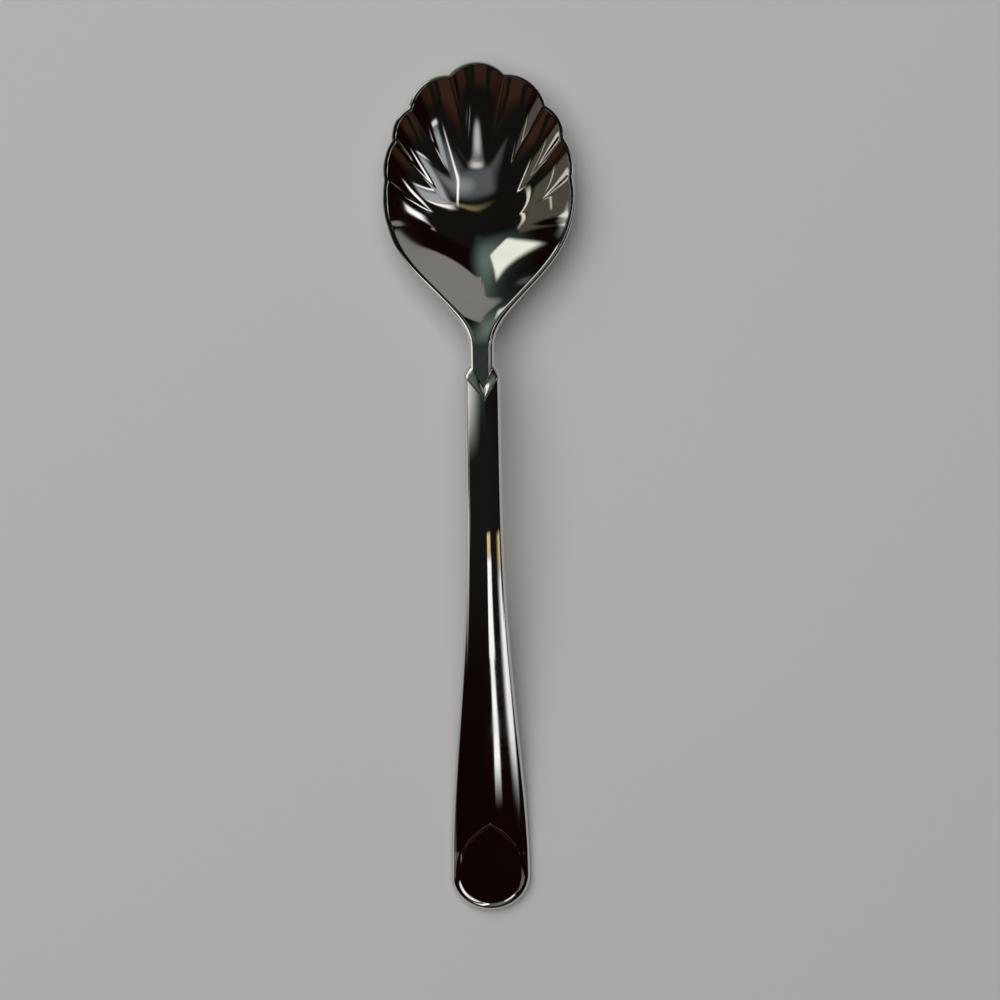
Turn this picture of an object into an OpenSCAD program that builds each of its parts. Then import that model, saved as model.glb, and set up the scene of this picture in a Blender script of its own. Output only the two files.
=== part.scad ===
// Sugar spoon with a fluted bowl and a hollow handle.
// The bowl's tip points along +Y. The spoon lies on z = 0, with the origin under the middle of its length.

/* [Overall] */
// Length from the tip of the bowl to the end of the handle
overall_len = 152; // [145:1:165]
// Height of the bowl's rim above the table, at the middle of its sheet
rim_h = 8; // [7:0.25:10]
// Height of the handle's seam at the top of its arch
arch_h = 13.2; // [12:0.1:16]

/* [Bowl] */
// Width of the bowl's oval, without its lobes
bowl_w = 34; // [30:0.5:38]
// Length of the oval from its widest line to its tip, without the tip lobe
bowl_reach = 22; // [19:0.5:24]
// Length from the widest line to the narrowest place of the neck
heel_len = 28.7; // [26:0.1:31]
// Distance from the widest line back to the deepest place
deep_len = 5.5; // [3:0.5:9]
// Length from the deepest place back to the end of the hollow
hollow_len = 22.5; // [20:0.1:24]
// Length of the level rim behind the widest line
level_len = 8.7; // [4:0.1:12]
// Thickness of the bowl's sheet
sheet_t = 1.1; // [0.8:0.05:1.4]
// Width of the flat that the bowl rests on
foot_w = 6; // [4:0.5:8]

/* [Flutes] */
// Bulge of the tip lobe past the oval
tip_lobe = 1.35; // [0.8:0.05:1.8]
// Bulge of the last side lobe past the oval
side_lobe = 0.2; // [0.05:0.05:0.5]
// Angle of the first ridge, round the oval from the tip
ridge_1 = 17; // [13:0.5:21]
// Angle of the second ridge
ridge_2 = 46; // [40:0.5:50]
// Angle of the third ridge
ridge_3 = 64.5; // [60:0.5:70]
// Angle of the fourth ridge
ridge_4 = 83.5; // [79:0.5:88]
// Angle where the last side lobe ends
ridge_5 = 105; // [100:0.5:110]

/* [Neck] */
// Length from the narrowest place of the neck to the sides of the handle's mouth
neck_len = 3.95; // [3:0.05:6]
// Width of the neck at its narrowest
neck_w = 4.5; // [4:0.1:5]
// Thickness of the neck
neck_t = 2.4; // [2.4:0.1:3.2]
// Width of the rounded flank on each side of the neck
neck_flank = 1.2; // [0.8:0.1:1.6]
// Length of the flare from the neck to the handle's section
flare_len = 2.2; // [0.6:0.1:2.8]

/* [Handle] */
// Length of the handle's even part behind the mouth
even_len = 17.8; // [10:0.1:24]
// Width of the handle at its mouth
mouth_w = 6.4; // [5.8:0.1:7]
// Width of the handle near its end
end_w = 14.2; // [13.2:0.1:16]
// Length of the handle's rounded end
end_len = 6.3; // [5.8:0.1:8]
// Height of the front's shoulder above the seam
shoulder_h = 0.95; // [0.8:0.05:1.2]
// Width of the rounded shoulder at the mouth
shoulder_w = 0.8; // [0.6:0.05:0.95]
// Width of the rounded shoulder near the handle's end
shoulder_end_w = 1.8; // [0.9:0.1:2.2]
// Rise of the front's ridge above its shoulder
ridge_h = 0.9; // [0.6:0.05:1.1]
// Distance of the ridge to the right of the handle's middle
ridge_off = 0.43; // [0:0.01:0.6]
// Height of the back's shoulder below the seam
back_h = 0.7; // [0.65:0.05:1]
// Rise of the back's crown at the mouth
back_crown_mouth = 1; // [0.8:0.05:1.3]
// Rise of the back's crown at the handle's end
back_crown_end = 0.5; // [0.4:0.05:0.8]
// Depth of the V in the mouth
vee_d = 4.4; // [2:0.1:5.5]
// Wall of the two half shells
wall_t = 0.55; // [0.4:0.05:0.6]
// Rounding of the two edges at the joint
lip_r = 0.12; // [0.05:0.01:0.2]

/* [Panel] */
// Width of the sunk panel over its border
panel_w = 12.2; // [9:0.1:12.4]
// Length of the panel's pointed part over its border
panel_len = 9.4; // [7:0.1:12]
// Distance from the panel's border to the handle's end
panel_margin = 0.7; // [0.6:0.05:1]
// Width of the panel's sloped border
border_w = 0.55; // [0.3:0.05:0.8]
// Depth of the panel at its point
panel_d = 1.25; // [0.8:0.05:1.3]

/* [Tang and core] */
// Length of the tang's root from the sides of the mouth
root_len = 6.8; // [6:0.1:9]
// Length of the whole tang from the sides of the mouth
tang_len = 32; // [20:1:45]
// Width of the tang behind its root
tang_w = 3; // [2:0.1:3.4]
// Thickness of the tang behind its root
tang_t = 1.4; // [1:0.05:1.5]
// Clearance round the tang and the core
fit_gap = 0.05; // [0.03:0.01:0.08]
// Gap of the joint between shank and handle
seam_gap = 0.06; // [0.04:0.01:0.1]

/* [Hidden] */

// Steps of the surfaces. Columns run from the middle line out to the edge, and the last few round it off.
flat_cols = 10;
edge_cols = 4;
cols = flat_cols + edge_cols;
floor_cols = 4;
border_cols = 2;
lobe_steps = 8;
end_steps = 16;

// Plain numbers that give the curves their shape
heel_power = 2.7;
heel_fill = 2.9;
heel_rise = 2.3;
heel_round = 0.35;
flute_from = 0.35;
flute_full = 0.85;
flute_dip = 0.25;
spoke_bend = bowl_reach / 2;
spoke_turn = 1.7;
spoke_fade = 70;
swell_shape = -2.16;
ridge_sharp = 1.45;
ridge_soft = 2;
ridge_fade = 1.5;
thick_from = 0.52;
top_from = 0.64;
thick_rate = 1.1;
belly_step = 0.05;

// Places along the spoon
half_len = overall_len / 2;
end_y = end_len - half_len;
foot_share = pow(foot_w / bowl_w, 2);
bowl_depth = (rim_h - sheet_t / 2) / (1 - foot_share);
rim_slope = atan(4 * bowl_depth / bowl_w);
rim_out = sheet_t / 2 * (1 - cos(rim_slope));
oval_half = bowl_w / 2 - rim_out;
oval_y = half_len - rim_out - tip_lobe;
wide_y = oval_y - bowl_reach;
deep_y = wide_y - deep_len;
neck_y = wide_y - heel_len;
mouth_y = neck_y - neck_len;
swell_y = mouth_y - even_len;
root_y = mouth_y - root_len;
tang_y = mouth_y - tang_len;
fan_y = wide_y + bowl_reach * cos(ridge_5);
thick_y = wide_y - thick_from * heel_len;
top_y = wide_y - top_from * heel_len;
vee_y = neck_y + neck_w / 2;
end_h = back_h + back_crown_end;
level_y = wide_y - level_len;
front_rise = sqrt(arch_h - rim_h);
back_rise = sqrt(arch_h - end_h);
arch_y = level_y - (level_y - end_y) * front_rise / (front_rise + back_rise);
border_r = (panel_len * panel_len + panel_w * panel_w / 4) / panel_w;
border_x = panel_w / 2 - border_r;
floor_tip = sqrt(pow(border_r - border_w, 2) - border_x * border_x);
band_w = shoulder_w / 8;

function mix(a, b, q) = a + (b - a) * q;
function clip(x) = max(0, min(1, x));
function ease(x) = let (c = clip(x)) c * c * (3 - 2 * c);

// Height of the seam and of the bowl's rim: two half waves that meet at the top of the arch
function wave(q) = (1 + cos(180 * clip(q))) / 2;
function spine(y) = y > arch_y
    ? mix(rim_h, arch_h, wave((y - arch_y) / (level_y - arch_y)))
    : mix(end_h, arch_h, wave((arch_y - y) / (arch_y - end_y)));

// Columns: an even stretch, then an edge of width e that is rounded off
function turn(j) = j <= flat_cols ? 90 : 90 * (cols - j) / edge_cols;
function reach(j, half, e) = j <= flat_cols ? (half - e) * j / flat_cols : half - e * (1 - cos(turn(j)));

// Bowl and neck: half width of the plain outline at y
function heel_half(y) = let (s = clip((y - neck_y) / heel_len))
    mix(neck_w / 2, oval_half, pow(1 - pow(1 - s, heel_power), heel_fill));
// Point of the plain rim at angle t from the tip
function rim_at(t) = let (y = wide_y + bowl_reach * cos(t))
    [sign(t) * (abs(t) <= 90 ? oval_half * sin(abs(t)) : heel_half(y)), y];
// Curve across the hollow at share u of its half width: a parabola at the widest line, a rounded V at the heel
function rounded(u) = sqrt(u * u + heel_round * heel_round) - heel_round;
function side_curve(u, y) = mix(u * u, rounded(u) / rounded(1), ease((wide_y - y) / (wide_y - thick_y)));
// Share of the bowl's depth at a point: 1 at the bottom, 0 at the rim and along the neck
function hollow(x, y) =
    let (ahead = oval_y - deep_y, v = y > deep_y ? (y - deep_y) / ahead : (deep_y - y) / hollow_len)
    let (rest = max(0, 1 - v * v), side = (1 + v) / ahead * bowl_reach / (1 + (y - wide_y) / bowl_reach))
    max(0, y > wide_y
        ? rest - side * pow(x / oval_half, 2)
        : pow(rest, y > deep_y ? 1 : heel_rise) * (1 - side_curve(x / heel_half(y), y)));
function sheet_z(x, y) = spine(y) - bowl_depth * hollow(x, y);
// The underside thickens towards the neck first, the top follows near the end of the hollow
function neck_share(y, from) = ease(thick_rate * (from - y) / (from - neck_y));
function body_t(y, from) = mix(sheet_t, neck_t, neck_share(y, from));
function edge_w(y) = mix(sheet_t / 2, neck_flank, neck_share(y, top_y));

// Flutes: lobes between the ridges, largest at the tip, whose bulge fades towards the middle of the bowl
ridges = [ridge_1, ridge_2, ridge_3, ridge_4, ridge_5];
side_lobes = len(ridges) - 1;
bounds = concat([for (i = [side_lobes:-1:0]) -ridges[i]], ridges);
function lobe_bulge(i) = mix(tip_lobe, side_lobe, abs(i - side_lobes) / side_lobes);
fan_spokes = concat(
    [for (i = [0:2 * side_lobes]) for (n = [0:lobe_steps - 1])
        let (q = n / lobe_steps)
        [mix(bounds[i], bounds[i + 1], q), lobe_bulge(i) * 4 * q * (1 - q)]],
    [[ridge_5, 0]]
);
function bend(t) = spoke_bend * cos(spoke_turn * t) * (1 - ease((abs(t) - spoke_fade) / (ridge_5 - spoke_fade)));
function fan_mid(spoke, j) =
    let (t = spoke[0], rim = rim_at(t), long = norm([rim.x, rim.y - fan_y]))
    let (q = reach(j, long, sheet_t / 2) / long)
    let (x = q * rim.x, y = mix(fan_y, rim.y, q) + q * (1 - q) * bend(t))
    let (out = [sin(t) / oval_half, cos(t) / bowl_reach])
    let (push = spoke[1] * ease((q - flute_from) / (flute_full - flute_from)))
    [x + push * out.x / norm(out), y + push * out.y / norm(out), sheet_z(x, y) - flute_dip * push];

// V of the joint: 0 at both sides, deepest at the ridge
function off_ridge(x, half, at) = x < at ? (at - x) / (half + at) : (x - at) / (half - at);
function vee(x, half) = -vee_d * (1 - min(1, off_ridge(x, half, ridge_off)));

// Rows behind the fan, each with its y and its share of the V
heel_rows = 12;
neck_rows = 4;
flare_y = mouth_y + flare_len;
strip_rows = concat(
    [for (i = [1:heel_rows]) [mix(fan_y, vee_y, i / heel_rows), 0]],
    [for (i = [1:neck_rows]) [mix(vee_y, flare_y, i / neck_rows), i / neck_rows]]
);
function strip_mid(row, side, j) =
    let (half = heel_half(row[0]), x = side * reach(j, half, edge_w(row[0])))
    let (y = row[0] + row[1] * vee(x, half))
    [x, y, sheet_z(x, y)];

// Middle of the sheet on each spoke, from the left neck round the tip to the right neck
strips = len(strip_rows);
mids = concat(
    [for (i = [strips - 1:-1:0]) [for (j = [0:cols]) strip_mid(strip_rows[i], -1, j)]],
    [for (spoke = fan_spokes) [for (j = [0:cols]) fan_mid(spoke, j)]],
    [for (row = strip_rows) [for (j = [0:cols]) strip_mid(row, 1, j)]]
);
last_mid = len(mids) - 1;
function in_fan(u) = u >= strips && u <= last_mid - strips;
function along(u, j) = mids[min(u + 1, last_mid)][j] - mids[max(u - 1, 0)][j];
function across(u, j) = mids[u][min(j + 1, cols)] - mids[u][j - 1];
function middle_normal(u) =
    let (left = in_fan(u) ? strips : u, right = last_mid - left)
    let (sideways = mids[max(left, right)][1] - mids[min(left, right)][1])
    let (step = in_fan(u) ? mids[last_mid / 2][1] - mids[strips - 1][0] : along(min(u, last_mid - u), 0))
    cross(sideways, step);
function normal(u, j) = let (n = j == 0 ? middle_normal(u) : cross(along(u, j), across(u, j))) n / norm(n);
function sheet_pt(u, j, face) =
    let (p = mids[u][j], t = in_fan(u) ? sheet_t : body_t(p.y, face == 0 ? top_y : thick_y))
    let (q = p + normal(u, j) * (face == 0 ? 1 : -1) * t / 2 * sin(turn(j)))
    [q.x, q.y, max(0, q.z)];

// Handle: half width, ridge line and the panel's floor and border at y
function swell(y) = let (u = clip((swell_y - y) / (swell_y - end_y)))
    u * u * (3 + swell_shape - (2 + 2 * swell_shape) * u + swell_shape * u * u);
function handle_half(y) = mix(mouth_w, end_w, swell(y)) / 2;
function ridge_x(y) = ridge_off * (1 - swell(y));
function arch_half(y, r) = border_x + sqrt(max(border_x * border_x, r * r - pow(y - end_y, 2)));
function floor_half(y) = max(band_w, arch_half(y, border_r - border_w));
function border_half(y) = max(2 * band_w, floor_half(y) + band_w, arch_half(y, border_r));
function shoulder_x(y, at) =
    max(handle_half(y) - mix(shoulder_w, shoulder_end_w, swell(y)) - at, border_half(y) + band_w);
function sunk(y) = clip((end_y + panel_len - y) / (panel_len - floor_tip));
function floor_q(j) = min(1, j / floor_cols);
function border_q(j) = clip((j - floor_cols) / border_cols);
function field_q(j) = clip((j - floor_cols - border_cols) / (flat_cols - floor_cols - border_cols));
// Value at column j, given its value at the floor's edge, the border, the shoulder and the outline
function by_column(j, at_floor, at_border, at_shoulder, at_edge) =
    j <= floor_cols ? at_floor * floor_q(j)
    : j <= floor_cols + border_cols ? mix(at_floor, at_border, border_q(j))
    : j <= flat_cols ? mix(at_border, at_shoulder, field_q(j))
    : mix(at_shoulder, at_edge, cos(turn(j)));

// Heights above and below the seam at column j, before a wall or a clearance is taken off
floor_end_h = shoulder_h - belly_step * panel_d;
function floor_h(y) = mix(floor_end_h, shoulder_h + ridge_h - panel_d, clip((y - end_y) / panel_len));
function front_h(j, off, power, sink, y) =
    let (plain = shoulder_h * sin(turn(j)) + ridge_h * (1 - pow(off, power)))
    mix(plain, floor_h(y), sink * (1 - border_q(j)));
function back_height(j, off, y) =
    back_h * sin(turn(j)) + mix(back_crown_mouth, back_crown_end, swell(y)) * (1 - off * off);

// Point of the handle on a row [y, share of the V], with the surface moved in by inset
function handle_pt(row, side, j, face, inset) =
    let (y = row[0], half = handle_half(y), at = ridge_x(y))
    let (edge = half - side * at, shoulder = shoulder_x(y, side * at))
    let (x = at + side * by_column(j, floor_half(y), border_half(y), shoulder, edge))
    let (h = face == 0
        ? front_h(j, off_ridge(x, half, at), mix(ridge_sharp, ridge_soft, ease(ridge_fade * swell(y))), sunk(y), y)
        : -back_height(j, x / half, y))
    let (on_y = y + row[1] * vee(x, half))
    let (move = inset * sin(turn(j)) * (face == 0 ? -1 : 1))
    [x * (1 - inset / half), on_y, spine(on_y) + h + move];
// Point of the handle's rounded end, on the spoke at angle t
function end_pt(t, j, face, inset) =
    let (half = end_w / 2, border = end_len - panel_margin)
    let (a = by_column(j, floor_half(end_y), border_half(end_y), shoulder_x(end_y, 0), half))
    let (b = by_column(j, border - border_w, border, max(end_len - shoulder_end_w, border + band_w), end_len))
    let (y = end_y - b * cos(t) * (1 - inset / end_len))
    let (h = face == 0 ? front_h(j, a / half, ridge_soft, 1, end_y) : -back_height(j, a / half, end_y))
    let (move = inset * sin(turn(j)) * (face == 0 ? -1 : 1))
    [a * sin(t) * (1 - inset / half), y, spine(y) + h + move];

// Rows of the handle from its rounded end to its mouth
panel_rows = 6;
body_rows = 13;
mouth_rows = 3;
tip_y = end_y + panel_len;
core_rows = concat(
    [for (i = [1:panel_rows]) [end_y + floor_tip * sin(90 * i / panel_rows), 0]],
    [[(end_y + floor_tip + tip_y) / 2, 0], [tip_y, 0]],
    [for (i = [1:body_rows]) [mix(tip_y, root_y, i / body_rows), 0]]
);
function mouth_row(q) = [mix(root_y, mouth_y, q), q];
lip_rows = [for (i = [1:mouth_rows]) mouth_row(i / mouth_rows) - [lip_r + seam_gap / 2, 0]];
rim_row = mouth_row(1) - [seam_gap / 2, 0];
shell_rows = concat(core_rows, lip_rows, [rim_row]);
end_angles = [for (i = [0:end_steps]) mix(90, -90, i / end_steps)];

// Tang behind its root, and the same shape grown by a clearance for its pocket
tang_steps = 5;
tang_rows = [for (i = [0:tang_steps]) mix(root_y, tang_y, i / tang_steps)];
function tang_pt(y, side, j, face, grow) =
    let (thick = tang_t / 2 + grow, x = side * reach(j, tang_w / 2 + grow, thick))
    [x, y, spine(y) + (face == 0 ? 1 : -1) * thick * sin(turn(j))];

// Rows of the shank behind the neck: the flare, the joint's face, the root and the tang
flare_steps = 3;
function flare_pt(q, side, j, face, inset) =
    let (row = mouth_row(1) + [mix(flare_len, lip_r + seam_gap / 2, q), 0])
    let (x = side * reach(j, neck_w / 2, neck_flank))
    let (y = row[0] + vee(x, neck_w / 2))
    let (plain = [x, y, spine(y) + (face == 0 ? 1 : -1) * neck_t / 2 * sin(turn(j))])
    mix(plain, handle_pt(row, side, j, face, inset), ease(q));
root_inset = wall_t + fit_gap;
function shank_chain(side, j, face) = concat(
    [for (i = [1:flare_steps]) flare_pt(i / flare_steps, side, j, face, 0)],
    [handle_pt(mouth_row(1) + [seam_gap / 2, 0], side, j, face, lip_r)],
    [handle_pt(mouth_row(1) + [seam_gap / 2, 0], side, j, face, root_inset)],
    [for (i = [mouth_rows - 1:-1:0]) handle_pt(mouth_row(i / mouth_rows), side, j, face, root_inset)],
    [for (y = tang_rows) tang_pt(y, side, j, face, 0)]
);

// A closed solid between an upper and a lower surface. Each surface is a list of spokes that starts at one side of
// the open end, runs round the fan and back to the other side. A spoke is a list of points from the middle line out.
function middle_no(u, rows, fan) = u < rows ? rows - u : u > rows + fan ? u - rows - fan : 0;
function point_no(u, j, rows, fan) = j == 0 ? middle_no(u, rows, fan) : rows + 1 + u * cols + j - 1;
function point_list(spokes, rows, fan) = concat(
    [for (i = [0:rows]) spokes[rows - i][0]],
    [for (spoke = spokes) for (j = [1:cols]) spoke[j]]
);
function tri(a, b, c) = a == b || b == c || a == c ? [] : [[a, b, c]];
function quad(a, b, c, d) = concat(tri(a, b, c), tri(a, c, d));
module between(upper, lower, rows, fan, shared_edge) {
    last = 2 * rows + fan;
    lower_start = rows + 1 + (last + 1) * cols;
    no_up = function (u, j) point_no(u, j, rows, fan);
    no_low = function (u, j) shared_edge && j == cols ? no_up(u, j) : lower_start + no_up(u, j);
    skin = [for (u = [0:last - 1]) for (j = [0:cols - 1]) each concat(
        quad(no_up(u, j), no_up(u, j + 1), no_up(u + 1, j + 1), no_up(u + 1, j)),
        quad(no_low(u, j), no_low(u + 1, j), no_low(u + 1, j + 1), no_low(u, j + 1))
    )];
    edge = [for (u = [0:last - 1])
        each quad(no_up(u, cols), no_low(u, cols), no_low(u + 1, cols), no_up(u + 1, cols))];
    cap = [for (j = [0:cols - 1]) each concat(
        quad(no_up(0, j), no_low(0, j), no_low(0, j + 1), no_up(0, j + 1)),
        quad(no_up(last, j), no_up(last, j + 1), no_low(last, j + 1), no_low(last, j))
    )];
    polyhedron(
        points = concat(point_list(upper, rows, fan), point_list(lower, rows, fan)),
        faces = concat(skin, shared_edge ? [] : edge, cap)
    );
}

// Bowl, neck, flare, root and tang in one forging
module bowl_and_shank() {
    more = len(shank_chain(1, 0, 0));
    chain = function (side, face) [for (j = [0:cols]) shank_chain(side, j, face)];
    face_spokes = function (face)
        let (left = chain(-1, face), right = chain(1, face))
        concat(
            [for (i = [more - 1:-1:0]) [for (j = [0:cols]) left[j][i]]],
            [for (u = [0:last_mid]) [for (j = [0:cols]) sheet_pt(u, j, face)]],
            [for (i = [0:more - 1]) [for (j = [0:cols]) right[j][i]]]
        );
    color("silver") between(face_spokes(0), face_spokes(1), more + strips, len(fan_spokes) - 1, true);
}

// Spokes of one surface of the handle, with an own inset for the row at the mouth
function handle_spokes(rows, face, inset, mouth_inset) =
    let (last = len(rows) - 1)
    let (row_spoke = function (i, side)
        [for (j = [0:cols]) handle_pt(rows[i], side, j, face, i == last ? mouth_inset : inset)])
    concat(
        [for (i = [last:-1:0]) row_spoke(i, 1)],
        [for (t = end_angles) [for (j = [0:cols]) end_pt(t, j, face, inset)]],
        [for (i = [0:last]) row_spoke(i, -1)]
    );

// Upper half of the handle, with the ridge and the sunk panel
module handle_front_shell() {
    outer = handle_spokes(shell_rows, 0, 0, lip_r);
    inner = handle_spokes(shell_rows, 0, wall_t, wall_t);
    color("gainsboro") between(outer, inner, len(shell_rows), end_steps, false);
}

// Lower half of the handle, plain and convex
module handle_back_shell() {
    outer = handle_spokes(shell_rows, 1, 0, lip_r);
    inner = handle_spokes(shell_rows, 1, wall_t, wall_t);
    color("lightgray") between(inner, outer, len(shell_rows), end_steps, false);
}

// Cement core inside the handle, with a pocket for the tang
module handle_filler() {
    front_row = [for (i = [0:len(core_rows) - 1]) i < len(core_rows) - 1 ? core_rows[i] : [root_y - fit_gap, 0]];
    pocket = concat([root_y - fit_gap], [for (i = [1:tang_steps]) tang_rows[i] - (i == tang_steps ? fit_gap : 0)]);
    steps = len(pocket) - 1;
    face_spokes = function (face)
        let (pocket_spoke = function (i, side) [for (j = [0:cols]) tang_pt(pocket[i], side, j, face, fit_gap)])
        concat(
            [for (i = [steps:-1:0]) pocket_spoke(i, 1)],
            handle_spokes(front_row, face, root_inset, root_inset),
            [for (i = [0:steps]) pocket_spoke(i, -1)]
        );
    color("tan") between(face_spokes(0), face_spokes(1), len(front_row) + len(pocket), end_steps, true);
}

bowl_and_shank();
handle_front_shell();
handle_back_shell();
handle_filler();
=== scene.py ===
import math

import bpy
import numpy as np
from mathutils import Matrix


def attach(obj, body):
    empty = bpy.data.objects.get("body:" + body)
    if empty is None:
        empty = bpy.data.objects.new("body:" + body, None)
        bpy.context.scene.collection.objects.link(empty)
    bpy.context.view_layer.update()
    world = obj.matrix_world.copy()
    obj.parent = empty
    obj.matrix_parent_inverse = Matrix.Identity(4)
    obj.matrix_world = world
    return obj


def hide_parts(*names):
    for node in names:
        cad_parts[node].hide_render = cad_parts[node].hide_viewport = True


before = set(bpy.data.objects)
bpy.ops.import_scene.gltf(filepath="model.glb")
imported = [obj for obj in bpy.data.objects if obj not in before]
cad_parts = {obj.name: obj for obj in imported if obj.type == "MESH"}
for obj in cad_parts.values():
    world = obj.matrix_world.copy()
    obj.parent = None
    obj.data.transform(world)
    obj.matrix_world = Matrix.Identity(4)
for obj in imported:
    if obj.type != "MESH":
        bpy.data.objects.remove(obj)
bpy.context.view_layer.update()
print("frame loaded:", sorted(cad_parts))

mm = 0.001  # sizes below are in millimetres, meshes are in metres

# overall form: seam and rim heights, and the columns that every surface shares
spoon = {
    "length": 152.0,
    "rimH": 8.0,
    "archH": 13.2,
    "floorCols": 20,
    "borderCols": 10,
    "fieldCols": 20,
    "edgeCols": 14,
}
bowl = {
    "width": 34.0,
    "reach": 22.0,
    "heelLen": 28.7,
    "deepLen": 5.5,
    "hollowLen": 22.5,
    "levelLen": 8.7,
    "sheetT": 1.1,
    "footW": 6.0,
    "tipLobe": 1.35,
    "sideLobe": 0.2,
    "ridges": (17.0, 46.0, 64.5, 83.5, 105.0),
    "heelPower": 2.7,
    "heelFill": 2.9,
    "heelRise": 2.3,
    "heelRound": 0.35,
    "fluteFrom": 0.35,
    "fluteFull": 0.85,
    "fluteDip": 0.25,
    "spokeTurn": 1.7,
    "spokeFade": 70.0,
    "lobeSteps": 20,
    "heelRows": 90,
}
neck = {
    "length": 3.95,
    "width": 4.5,
    "thick": 2.4,
    "flank": 1.2,
    "flareLen": 2.2,
    "thickFrom": 0.52,
    "topFrom": 0.64,
    "thickRate": 1.1,
    "rows": 40,
    "flareRows": 24,
}
handle = {
    "evenLen": 17.8,
    "mouthW": 6.4,
    "endW": 14.2,
    "endLen": 6.3,
    "shoulderH": 0.95,
    "shoulderW": 0.8,
    "shoulderEndW": 1.8,
    "ridgeH": 0.9,
    "ridgeOff": 0.43,
    "ridgeSharp": 1.45,
    "ridgeSoft": 2.0,
    "ridgeFade": 1.5,
    "swellShape": -2.16,
    "backH": 0.7,
    "backCrownMouth": 1.0,
    "backCrownEnd": 0.5,
    "veeD": 4.4,
    "wallT": 0.55,
    "lipR": 0.12,
    "thinShare": 0.125,
    "bodyRows": 140,
    "mouthRows": 36,
    "lipRows": 5,
    "endSteps": 64,
}
panel = {
    "width": 12.2,
    "pointLen": 9.4,
    "margin": 0.7,
    "borderW": 0.55,
    "depth": 1.25,
    "bellyStep": 0.05,
    "rows": 60,
    "tipRows": 12,
}
tang = {
    "rootLen": 6.8,
    "length": 32.0,
    "width": 3.0,
    "thick": 1.4,
    "fitGap": 0.05,
    "seamGap": 0.06,
    "rows": 6,
}


def mix(a, b, q):
    return a + (b - a) * q


def clip(x):
    return np.clip(x, 0.0, 1.0)


def ease(x):
    c = clip(x)
    return c * c * (3.0 - 2.0 * c)


def wave(q):  # half a cosine wave, from 1 down to 0
    return (1.0 + np.cos(math.pi * clip(q))) / 2.0


# places along the spoon, worked out from the sizes above
halfLen = spoon["length"] / 2
endY = handle["endLen"] - halfLen
footShare = (bowl["footW"] / bowl["width"]) ** 2
bowlDepth = (spoon["rimH"] - bowl["sheetT"] / 2) / (1 - footShare)
rimSlope = math.atan(4 * bowlDepth / bowl["width"])
rimOut = bowl["sheetT"] / 2 * (1 - math.cos(rimSlope))
ovalHalf = bowl["width"] / 2 - rimOut
ovalY = halfLen - rimOut - bowl["tipLobe"]
wideY = ovalY - bowl["reach"]
deepY = wideY - bowl["deepLen"]
neckY = wideY - bowl["heelLen"]
mouthY = neckY - neck["length"]
swellY = mouthY - handle["evenLen"]
rootY = mouthY - tang["rootLen"]
tangY = mouthY - tang["length"]
fanY = wideY + bowl["reach"] * math.cos(math.radians(bowl["ridges"][-1]))
thickY = wideY - neck["thickFrom"] * bowl["heelLen"]
topY = wideY - neck["topFrom"] * bowl["heelLen"]
veeY = neckY + neck["width"] / 2
endH = handle["backH"] + handle["backCrownEnd"]
levelY = wideY - bowl["levelLen"]
frontRise = math.sqrt(spoon["archH"] - spoon["rimH"])
backRise = math.sqrt(spoon["archH"] - endH)
archY = levelY - (levelY - endY) * frontRise / (frontRise + backRise)
borderR = (panel["pointLen"] ** 2 + panel["width"] ** 2 / 4) / panel["width"]
borderX = panel["width"] / 2 - borderR
floorTip = math.sqrt((borderR - panel["borderW"]) ** 2 - borderX ** 2)
bandW = handle["shoulderW"] * handle["thinShare"]
rootInset = handle["wallT"] + tang["fitGap"]

# columns run from the middle line out to the edge, and the last ones turn round it
flatCols = spoon["floorCols"] + spoon["borderCols"] + spoon["fieldCols"]
cols = flatCols + spoon["edgeCols"]
column = np.arange(cols + 1)
edgeTurn = np.where(column <= flatCols, 1.0, (cols - column) / spoon["edgeCols"]) * math.pi / 2
turnSin = np.sin(edgeTurn)
turnCos = np.cos(edgeTurn)


def spine(y):  # height of seam and rim: two half waves that meet at the top of the arch
    front = mix(spoon["rimH"], spoon["archH"], wave((y - archY) / (levelY - archY)))
    back = mix(endH, spoon["archH"], wave((archY - y) / (archY - endY)))
    return np.where(y > archY, front, back)


def reachOut(half, edge):  # even steps up to the edge zone, then the cosine of the turn
    even = (half - edge) * column / flatCols
    return np.where(column <= flatCols, even, half - edge * (1 - turnCos))


# lattice: spokes start at one side of the open end, run round a fan and back to the other side
def latticeNumbers(rows, fan):
    middle = np.concatenate([np.arange(rows, 0, -1), np.zeros(fan + 1, int), np.arange(1, rows + 1)])
    spokes = len(middle)
    numbers = np.empty((spokes, cols + 1), int)
    numbers[:, 0] = middle
    numbers[:, 1:] = rows + 1 + np.arange(spokes * cols).reshape(spokes, cols)
    return numbers


def latticePoints(grid, rows):  # the pole and the middle line first, then every spoke
    return np.concatenate([grid[rows::-1, 0], grid[:, 1:].reshape(-1, 3)])


def quadsOf(a, b, c, d):
    return np.stack([a, b, c, d], -1).reshape(-1, 4)


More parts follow.
